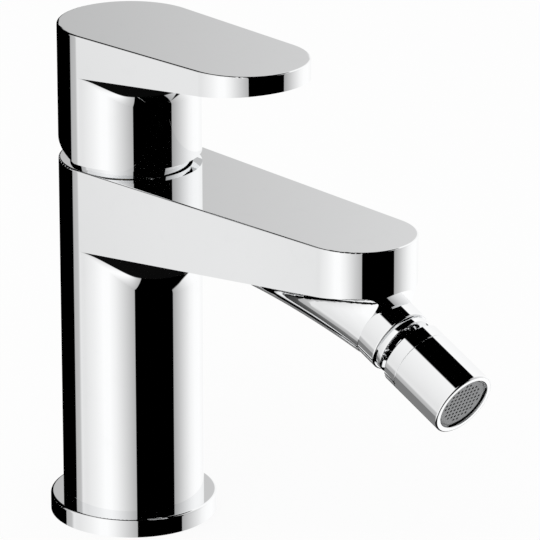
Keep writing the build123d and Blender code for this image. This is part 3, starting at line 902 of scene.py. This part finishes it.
def chrome_with_painted_shade(name):
    """Chrome with a near-black painted shade where it leans down by more than 19.5 degrees."""
    material, graph, point = open_finish(name)
    facing = graph.node("ShaderNodeNewGeometry", None, None, "Normal")
    downwards = graph.axes(facing)[2] * -1
    # The share of painted shade, which grows as the surface leans down.
    painted_shade_share = downwards.ease(math.sin(shade_start_lean), math.sin(shade_full_lean))
    grain = noise(graph, point, hollow_grain, detail=3.0, roughness=0.6)
    waves = noise(graph, point, wheel_waves, detail=1.0)
    sockets = {
        "Base Color": opaque(chrome_tone),
        "Metallic": 1.0,
        "Roughness": grain * hollow_grain_roughness + hollow_roughness,
    }
    close_finish(graph, waves, polish_depth, sockets, (painted_shade_share, painted_shade_colour))
    return material


# The blends' chrome, with painted shade in their corners.
hollow = chrome_with_painted_shade("chrome_painted_shade")
print("made", hollow.name)

# %% [markdown]
# ## The blends under the two arms
#
# Where the spout and the lever leave their round column, the casting is not cornered: a
# hollow blend, like the one a finger leaves in putty, runs from the column's wall up to
# the arm's lower edge. Its hollow mirrors the dark table, and its painted shade darkens it
# further; together they draw the black wedge under each arm. In section it is an arc that
# touches the wall. Its radius starts from nothing where the arm leaves the column's side,
# and grows towards the front. Where the arm's ledge is narrower than the arc, the arc ends
# on the ledge's edge. A loft between two drawn curves could make it too, but one spun
# ribbon bends more evenly in a mirror.
#
# The ribbon starts as an upright row of points, whose heights are just their numbers in
# the row. A spin copies the row round the front of the column.

# %% Spin the ribbon and size its arc
rows_round = 120
rows_up = 28
growth_knee = 6
least_angle = 0.01


def blend_radius_at(from_side, growth, front_radius):
    """The arc's radius at an angle from the arm's side, levelling off at front_radius."""
    grown = math.degrees(max(from_side, least_angle)) * growth / front_radius
    return front_radius * grown / (1 + grown**growth_knee) ** (1 / growth_knee)


def spun_ribbon(first, last):
    """Rows of points on a unit circle, whose height is the number of their level."""
    ribbon = bmesh.new()
    levels = range(rows_up + 2)
    points = [ribbon.verts.new((math.cos(first), math.sin(first), level)) for level in levels]
    edges = [ribbon.edges.new(pair) for pair in zip(points, points[1:] + points[:1])]
    bmesh.ops.spin(
        ribbon,
        geom=points + edges,
        cent=(0, 0, 0),
        axis=(0, 0, 1),
        angle=last - first,
        steps=rows_round,
        use_merge=False,
    )
    return ribbon


print("rows of a blend:", rows_up, "up and", rows_round, "round")

# %% [markdown]
# Every point then slides to its place on its own arc. The rows crowd near the wall, where
# the eye follows the black edge. The last row lies inside the metal and closes the ribbon
# to a solid, so that no gap shows between the blend and the casting.

# %% Slide the ribbon's points to their arcs
row_crowding = 1.6
bury = 0.4 * MM
row_merge = 0.002 * MM


def arm_blend(name, arm, front_radius, growth, body):
    """A hollow blend round the front of the column, under an arm with a sloping underside.

    The arm is given by the radius and reach of its nose, and by the height and slope of
    its underside. The arc grows by growth for each degree from the arm's side.
    """
    nose_radius, reach, root_height, rise_angle = arm
    lean = math.asin((body_radius - nose_radius) / reach)
    slope = math.tan(math.radians(rise_angle))
    ribbon = spun_ribbon(math.pi + lean, math.tau - lean)
    for point in ribbon.verts:
        turn = math.atan2(point.co.y, point.co.x) % math.tau
        level = round(point.co.z)
        from_side = math.pi / 2 - lean - abs(turn - 1.5 * math.pi)
        blend_radius = blend_radius_at(from_side, growth, front_radius)
        ledge = max(body_radius / math.cos(from_side) - body_radius, 0)
        held = min(ledge, blend_radius)
        depth = math.sqrt(2 * blend_radius * held - held * held)
        full_tilt = math.acos(1 - held / blend_radius)
        if level > rows_up:
            out, drop = -bury, -bury
        else:
            tilt = full_tilt * (level / rows_up) ** row_crowding
            out = blend_radius * (1 - math.cos(tilt))
            drop = depth - blend_radius * math.sin(tilt)
        across = body_radius + out
        front = across * math.sin(turn)
        point.co = (across * math.cos(turn), front, root_height - slope * front - drop)
    bmesh.ops.remove_doubles(ribbon, verts=ribbon.verts, dist=row_merge)
    bmesh.ops.holes_fill(ribbon, edges=ribbon.edges, sides=rows_up + 2)
    bmesh.ops.recalc_face_normals(ribbon, faces=ribbon.faces)
    soften(ribbon, sharp_angle)
    return finished_piece(name, ribbon, hollow, body)


print("rows this close are merged:", row_merge, "m")

# %% [markdown]
# The two arms differ only in their numbers: the radius and the reach of the round nose,
# the underside's height at the column's axis, and its slope in degrees. The spout's blend
# is a part of the casting, and the lever's turns with the lever.

# %% Put a blend under each arm
spout_arm = (18.5 * MM, 104.3 * MM, 94 * MM, 6.1)
lever_arm = (20.6 * MM, 53.8 * MM, 151.8 * MM, 6.25)
arm_blend("spout_blend", spout_arm, 16 * MM, 0.265 * MM, "mixer")
arm_blend("lever_blend", lever_arm, 10.2 * MM, 0.215 * MM, "lever")

# %% [markdown]
# ## Turned rings
#
# Two small rings with a rounded rim are still missing. On a lathe each is one cut. Here
# four corner points beside the axis are spun all the way round, and the upper outer edge
# is bevelled. A cylinder with a hole cut out of it would do as well, but the cut leaves
# long thin triangles, and those show in a mirror.

# %% Turn a ring with a rounded rim
ring_steps = 128
rim_segments = 4
ring_merge = 0.001 * MM


def turned_ring(name, radii, heights, rounding, body, slot, place=Matrix()):
    """A ring turned about Z, with its outer upper edge rounded, and then put in its place."""
    (inner, outer), (low, high) = radii, heights
    ring = bmesh.new()
    corners = [(inner, low), (outer, low), (outer, high), (inner, high)]
    points = [ring.verts.new((across, 0, up)) for across, up in corners]
    edges = [ring.edges.new(pair) for pair in zip(points, points[1:] + points[:1])]
    bmesh.ops.spin(
        ring,
        geom=points + edges,
        cent=(0, 0, 0),
        axis=(0, 0, 1),
        angle=math.tau,
        steps=ring_steps,
        use_merge=True,
    )
    bmesh.ops.remove_doubles(ring, verts=ring.verts, dist=ring_merge)
    at_rim = {
        end
        for end in ring.verts
        if abs(end.co.z - high) < ring_merge and abs(end.co.xy.length - outer) < ring_merge
    }
    rim = [edge for edge in ring.edges if at_rim.issuperset(edge.verts)]
    bmesh.ops.bevel(
        ring,
        geom=rim,
        offset=rounding,
        segments=rim_segments,
        profile=0.5,
        affect="EDGES",
        material=-1,
    )
    bmesh.ops.transform(ring, matrix=place, verts=ring.verts)
    bmesh.ops.recalc_face_normals(ring, faces=ring.faces)
    soften(ring, sharp_angle)
    return finished_piece(name, ring, finishes[slot], body)


print("rings are spun in", ring_steps, "steps")

# %% [markdown]
# ## The neck in the gap
#
# Between the column's top and the lever's skirt runs a gap of two millimetres. What
# shows in it is a plated neck that stands upright round the dome, so the gap shines
# with the same white and black as the column.

# %% Turn the neck ring
neck_radii = (16.6 * MM, 19.3 * MM)
neck_heights = (body_height, body_height + 2.2 * MM)
neck_round = 0.25 * MM
turned_ring("neck_ring", neck_radii, neck_heights, neck_round, "mixer", "chrome_dome")

# %% [markdown]
# ## The bead of the collar
#
# The collar above the swivelling outlet ends in wrench flats. What the picture shows of
# them is mostly a narrow turned bead, with a fine shadow line between it and the collar.
# The bead is turned about Z like the neck, and then tipped onto the outlet's own axis,
# because a ring's corners are easiest to write where the axis is upright.

# %% Turn the bead and tip it onto the outlet's axis
bead_radii = (7 * MM, 9.95 * MM)
bead_heights = (7.9 * MM, 9.8 * MM)
bead_round = 0.4 * MM
tip = outlet_axis.to_track_quat("Z", "Y").to_matrix().to_4x4()
onto_outlet = Matrix.Translation(outlet_joint) @ tip
bead = ("collar_bead", bead_radii, bead_heights, bead_round, "mixer", "chrome_collar")
turned_ring(*bead, onto_outlet)

# %% [markdown]
# ## Threads
#
# A thread is a small three-cornered ridge that climbs as it goes round. The drawing left
# the threaded holes plain, which is right for strength but looks unfinished from below.
# One profile is spun round the axis with a small lift at each step, which makes the whole
# coil in one operator. The ridge stands inwards from the wall, as in a tapped hole.

# %% Cut a thread
steps_in_a_turn = 32
flank = 0.45


def thread_coil(name, radius, length, foot, depth, pitch):
    """A ridge that stands inward from a hole's wall and climbs from foot along Z."""
    turns = length / pitch - 1
    coil = bmesh.new()
    corners = [(radius, -flank), (radius - depth, 0), (radius, flank)]
    points = [coil.verts.new((across, 0, (up + 0.5) * pitch)) for across, up in corners]
    edges = [coil.edges.new(pair) for pair in zip(points, points[1:] + points[:1])]
    bmesh.ops.spin(
        coil,
        geom=points + edges,
        cent=(0, 0, 0),
        axis=(0, 0, 1),
        dvec=(0, 0, pitch / steps_in_a_turn),
        angle=math.tau * turns,
        steps=round(steps_in_a_turn * turns),
        use_merge=False,
    )
    bmesh.ops.holes_fill(coil, edges=coil.edges, sides=3)
    bmesh.ops.translate(coil, vec=foot, verts=coil.verts)
    bmesh.ops.recalc_face_normals(coil, faces=coil.faces)
    return finished_piece(name, coil, cut_brass, "mixer")


print("a turn of thread takes", steps_in_a_turn, "steps")

# %% [markdown]
# All three threads start at the bridge, where the hollow skirt ends. The two inlets lie
# side by side just behind the column's axis, and the stud's hole lies in front of it.

# %% Put the threads in the casting
hose_thread = {"depth": 0.55 * MM, "pitch": 1.0 * MM}
stud_thread = {"depth": 0.65 * MM, "pitch": 1.25 * MM}
for side, name in ((-1, "inlet_thread_left"), (1, "inlet_thread_right")):
    foot = (side * inlet_spacing / 2, inlet_back, bridge_height)
    thread_coil(name, inlet_thread_radius, inlet_thread_depth, foot, **hose_thread)
stud_foot = (0, -stud_forward, bridge_height)
thread_coil("stud_thread", stud_radius, stud_depth, stud_foot, **stud_thread)

# %% [markdown] ## The dressed mixer
# The dressed mixer has to stay within the frame's box.
